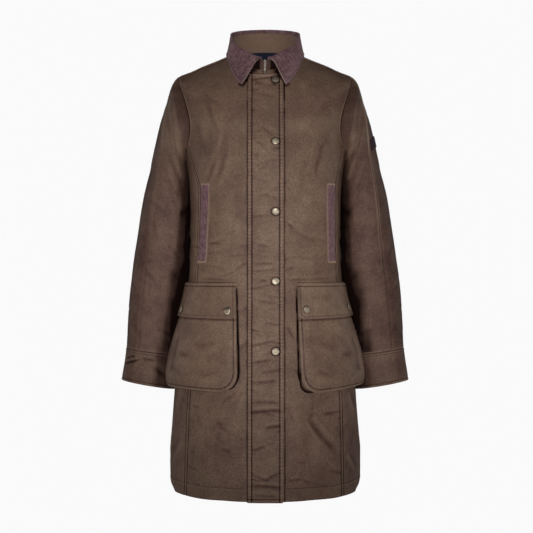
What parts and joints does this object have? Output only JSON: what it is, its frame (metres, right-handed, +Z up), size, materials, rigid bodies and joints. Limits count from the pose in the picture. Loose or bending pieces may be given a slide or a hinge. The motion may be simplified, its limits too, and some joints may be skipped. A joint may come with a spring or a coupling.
{
  "type": "wax jacket",
  "caption": "Knee-grazing waxed cotton coat in its worn, hollow form, with a corduroy collar, a storm flap over its zip, hand-warmer welts and flapped bellows pockets.",
  "frame": {"origin": "between the two points where the collar meets the shoulders, where the wearer's shoulders carry the coat", "axes": "+Z up the wearer, -Y the way the coat faces, +X the wearer's left"},
  "size_m": [0.6042, 0.3151, 0.9801],
  "materials": {
    "waxed_cotton": "waxed, dull sheen",
    "corduroy": "fine corduroy pile",
    "tan_drill": "matt twill",
    "navy_lining": "smooth lining",
    "zip": "woven tape with a metal chain",
    "patch_cloth": "plain woven patch",
    "pewter": "aged pewter"
  },
  "bodies": {
    "root": {"front_left": "waxed_cotton", "front_right": "waxed_cotton", "side_left": "waxed_cotton", "side_right": "waxed_cotton", "back": "waxed_cotton", "sleeve_front_left": "waxed_cotton", "sleeve_front_right": "waxed_cotton", "sleeve_back_left": "waxed_cotton", "sleeve_back_right": "waxed_cotton", "cuff_left": "waxed_cotton", "cuff_right": "waxed_cotton", "storm_flap": "waxed_cotton", "pocket_face_left": "waxed_cotton", "pocket_face_right": "waxed_cotton", "pocket_gusset_left": "waxed_cotton", "pocket_gusset_right": "waxed_cotton", "pocket_flap_left": "waxed_cotton", "pocket_flap_right": "waxed_cotton", "collar_fall": "corduroy", "hand_welt_left": "corduroy", "hand_welt_right": "corduroy", "collar_stand": "tan_drill", "neck_lining": "navy_lining", "zip": "zip", "sleeve_patch": "patch_cloth", "flap_stud_1": "pewter", "flap_stud_2": "pewter", "flap_stud_3": "pewter", "flap_stud_4": "pewter", "flap_stud_5": "pewter", "pocket_stud_inner_left": "pewter", "pocket_stud_inner_right": "pewter", "pocket_stud_outer_left": "pewter", "pocket_stud_outer_right": "pewter"}
  },
  "joints": []
}
